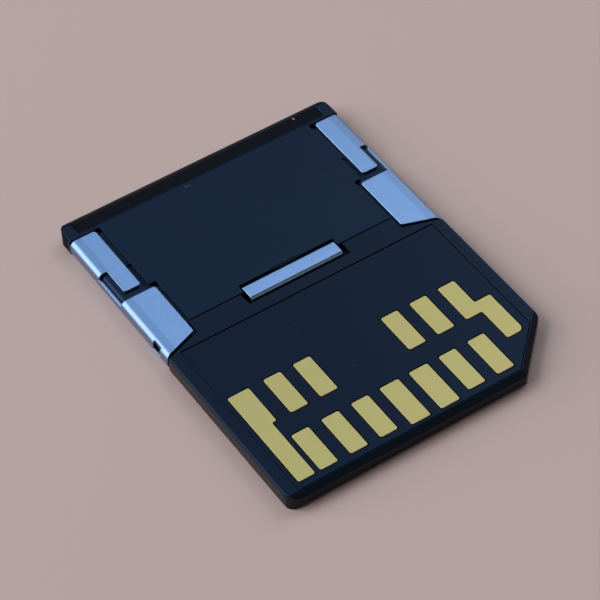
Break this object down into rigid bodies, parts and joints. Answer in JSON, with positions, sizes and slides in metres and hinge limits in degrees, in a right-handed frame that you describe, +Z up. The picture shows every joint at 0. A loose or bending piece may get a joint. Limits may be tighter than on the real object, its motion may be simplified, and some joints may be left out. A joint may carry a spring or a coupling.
{
  "type": "reduced-size multimedia card",
  "caption": "Small flat memory card with gold contacts and a cut corner, held by steel clips and a latch in its full-size extender.",
  "frame": {"origin": "middle of the outline's bounding box, on the label side that the card rests on", "axes": "+X across the card towards the cut corner's side, +Y along the length from the contact edge to the extender's finger bevel, +Z up out of the contact side"},
  "size_m": [0.024, 0.032, 0.0014],
  "materials": {
    "card_moulding": "satin near-black moulded plastic with a fine spark texture",
    "solder_mask": "smooth satin black solder mask",
    "contact_gold": "matt gold plating",
    "chip_resin": "matt black moulding resin",
    "capacitor_ceramic": "fired ceramic",
    "extender_moulding": "satin blue-black moulded plastic",
    "spring_steel": "bright rolled spring steel, satin"
  },
  "bodies": {
    "extender": {"extender_plate": "extender_moulding", "extender_base": "extender_moulding", "clip_left": "spring_steel", "clip_right": "spring_steel"},
    "card": {"card_cover": "card_moulding", "card_board": "solder_mask", "contact_01": "contact_gold", "contact_02": "contact_gold", "contact_03": "contact_gold", "contact_04": "contact_gold", "contact_05": "contact_gold", "contact_06": "contact_gold", "contact_07": "contact_gold", "contact_08": "contact_gold", "contact_09": "contact_gold", "contact_10": "contact_gold", "contact_11": "contact_gold", "contact_12": "contact_gold", "contact_13": "contact_gold", "controller_chip": "chip_resin", "memory_chip": "chip_resin", "capacitors": "capacitor_ceramic", "resistors": "chip_resin"},
    "latch": {"latch_spring": "spring_steel"}
  },
  "joints": [
    {"name": "card_slide", "type": "slide", "parent": "extender", "child": "card", "axis": [0, -1, 0], "range_m": [0, 0.006]},
    {"name": "latch_flex", "type": "hinge", "parent": "extender", "child": "latch", "pos_m": [0, 0.00655, 0.0006], "axis": [-1, 0, 0], "range_deg": [0, 4], "stiffness_Nm_per_rad": 0.02}
  ]
}
